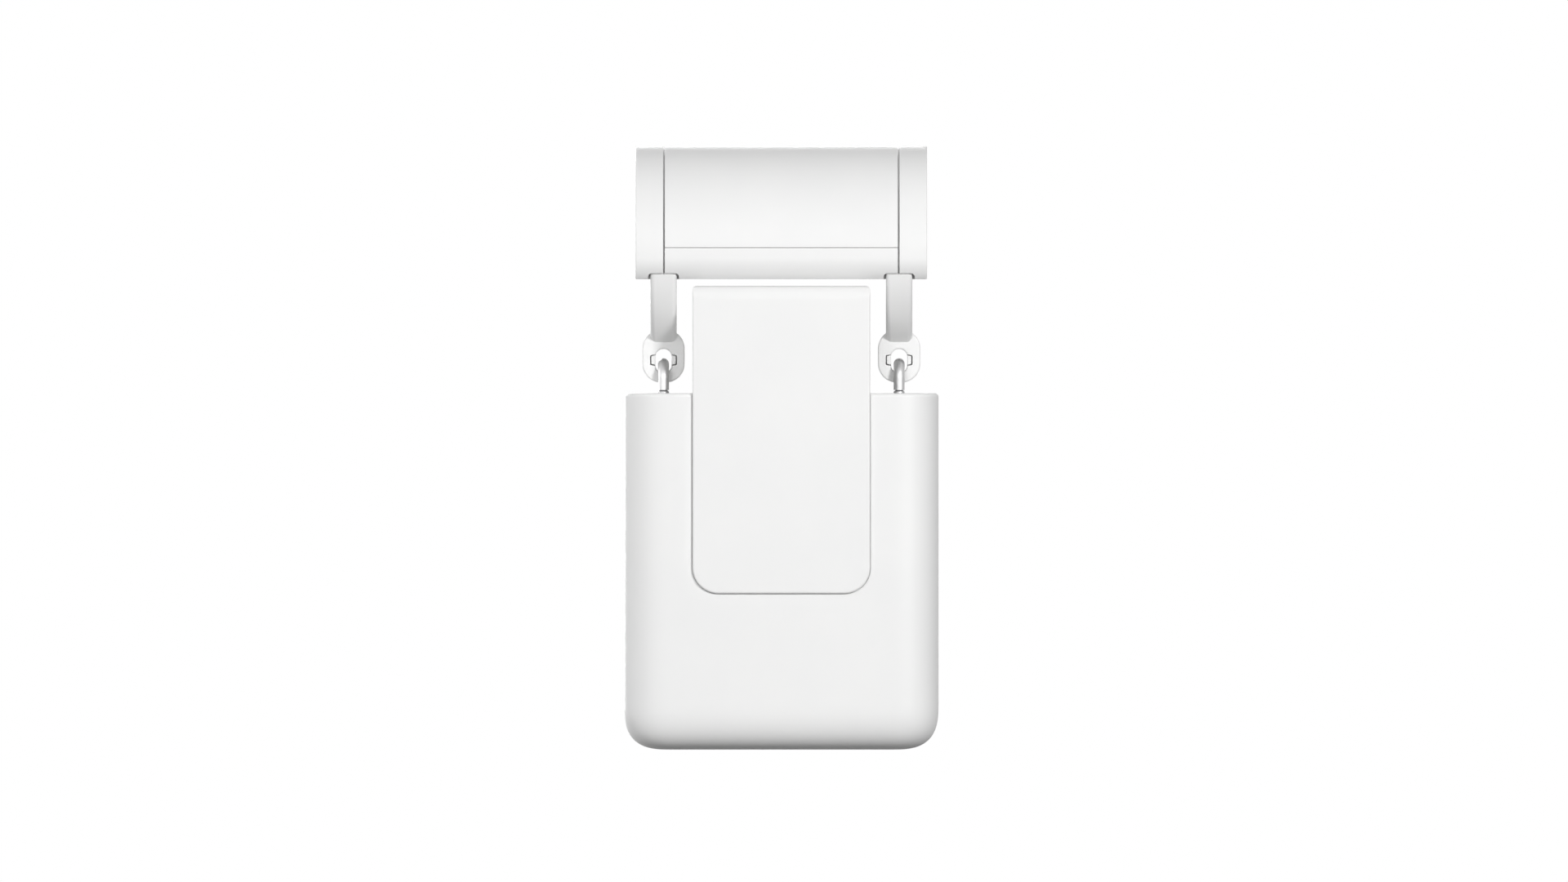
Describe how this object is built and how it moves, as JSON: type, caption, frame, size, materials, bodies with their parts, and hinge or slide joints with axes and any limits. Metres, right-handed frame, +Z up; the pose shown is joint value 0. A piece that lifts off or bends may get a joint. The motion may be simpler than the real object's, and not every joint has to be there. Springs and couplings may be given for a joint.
{
  "type": "smart curtain robot",
  "caption": "Curtain robot that hangs on a rod: a roller saddle above, a driven wheel below, and sprung hooks that clamp the battery-powered body up against the rod.",
  "frame": {"origin": "on the axis of the rod it hangs on, at mid-length", "axes": "+X along the rod, -Y to the front, +Z up"},
  "size_m": [0.075, 0.052, 0.1439],
  "materials": {
    "white_plastic": "fine satin moulding",
    "frame_plastic": "matte moulding",
    "grey_plastic": "matte moulding",
    "gear_plastic": "acetal, slight sheen",
    "black_plastic": "matte moulding",
    "hook_steel": "polished wire",
    "steel": "machined",
    "rubber": "matte",
    "cell_wrap": "shrink wrap",
    "contact_metal": "nickel strip",
    "circuit_board": "solder mask",
    "cable": "insulation",
    "clear_plastic": "frosted clear moulding"
  },
  "bodies": {
    "drive_unit": {"main_shell": "white_plastic", "front_plate": "white_plastic", "rear_plate": "white_plastic", "left_top_cover": "white_plastic", "right_top_cover": "white_plastic", "drive_frame": "frame_plastic", "gear_cover": "grey_plastic", "hook_guides": "grey_plastic", "battery_tray": "black_plastic", "battery_cover": "black_plastic", "button_switch": "black_plastic", "hook_springs": "steel", "cover_screws": "steel", "chassis_screws": "steel", "plate_screws": "steel", "gear_cover_screws": "steel", "motor_screws": "steel", "board_screws": "steel", "wheel_bearings": "steel", "idler_pin": "steel", "gearhead": "steel", "motor_can": "steel", "usb_socket": "steel", "battery_cells": "cell_wrap", "battery_tabs": "contact_metal", "radio_module": "contact_metal", "main_board": "circuit_board", "charge_board": "circuit_board", "ribbon_cable": "cable", "motor_leads": "cable", "light_guide": "clear_plastic"},
    "saddle": {"saddle_cover": "white_plastic", "saddle_base": "white_plastic", "left_end_cap": "white_plastic", "right_end_cap": "white_plastic", "left_front_arm": "white_plastic", "right_front_arm": "white_plastic", "left_rear_arm": "white_plastic", "right_rear_arm": "white_plastic", "roller_axles": "steel", "saddle_screws": "steel"},
    "wheel": {"wheel_hub": "frame_plastic", "wheel_tyre": "rubber", "wheel_axle": "steel", "wheel_gear": "gear_plastic"},
    "idler": {"idler_gear": "gear_plastic"},
    "motor_rotor": {"motor_shaft": "steel", "drive_pinion": "gear_plastic"},
    "left_roller_body": {"left_roller": "rubber"},
    "right_roller_body": {"right_roller": "rubber"},
    "button_body": {"button": "white_plastic"},
    "left_front_hook_body": {"left_front_hook": "hook_steel", "left_front_cup": "grey_plastic"},
    "right_front_hook_body": {"right_front_hook": "hook_steel", "right_front_cup": "grey_plastic"},
    "left_rear_hook_body": {"left_rear_hook": "hook_steel", "left_rear_cup": "grey_plastic"},
    "right_rear_hook_body": {"right_rear_hook": "hook_steel", "right_rear_cup": "grey_plastic"}
  },
  "joints": [
    {"name": "saddle_lift", "type": "slide", "parent": "drive_unit", "child": "saddle", "axis": [0, 0, 1], "range_m": [0, 0.008], "stiffness_N_per_m": 480, "springref_m": -0.01, "deforming": ["hook_springs"]},
    {"name": "left_front_hook_slide", "type": "slide", "parent": "drive_unit", "child": "left_front_hook_body", "axis": [0, 0, 1], "range_m": [0, 0.008]},
    {"name": "right_front_hook_slide", "type": "slide", "parent": "drive_unit", "child": "right_front_hook_body", "axis": [0, 0, 1], "range_m": [0, 0.008]},
    {"name": "left_rear_hook_slide", "type": "slide", "parent": "drive_unit", "child": "left_rear_hook_body", "axis": [0, 0, 1], "range_m": [0, 0.008]},
    {"name": "right_rear_hook_slide", "type": "slide", "parent": "drive_unit", "child": "right_rear_hook_body", "axis": [0, 0, 1], "range_m": [0, 0.008]},
    {"name": "wheel_spin", "type": "hinge", "parent": "drive_unit", "child": "wheel", "pos_m": [0, 0, -0.0252], "axis": [0, 1, 0], "continuous": true},
    {"name": "idler_spin", "type": "hinge", "parent": "drive_unit", "child": "idler", "pos_m": [0, 0, -0.0444], "axis": [0, 1, 0], "continuous": true},
    {"name": "motor_spin", "type": "hinge", "parent": "drive_unit", "child": "motor_rotor", "pos_m": [0, 0, -0.0588], "axis": [0, 1, 0], "continuous": true},
    {"name": "left_roller_spin", "type": "hinge", "parent": "saddle", "child": "left_roller_body", "pos_m": [-0.015, 0, 0.0158], "axis": [0, 1, 0], "continuous": true},
    {"name": "right_roller_spin", "type": "hinge", "parent": "saddle", "child": "right_roller_body", "pos_m": [0.015, 0, 0.0158], "axis": [0, 1, 0], "continuous": true},
    {"name": "button_press", "type": "slide", "parent": "drive_unit", "child": "button_body", "axis": [0, 0, 1], "range_m": [0, 0.0005], "stiffness_N_per_m": 1500, "springref_m": -0.0003}
  ],
  "couplings": [
    {"joint": "left_front_hook_slide", "follows": "saddle_lift", "ratio": 1},
    {"joint": "right_front_hook_slide", "follows": "saddle_lift", "ratio": 1},
    {"joint": "left_rear_hook_slide", "follows": "saddle_lift", "ratio": 1},
    {"joint": "right_rear_hook_slide", "follows": "saddle_lift", "ratio": 1},
    {"joint": "idler_spin", "follows": "wheel_spin", "ratio": -1},
    {"joint": "motor_spin", "follows": "wheel_spin", "ratio": 2}
  ]
}
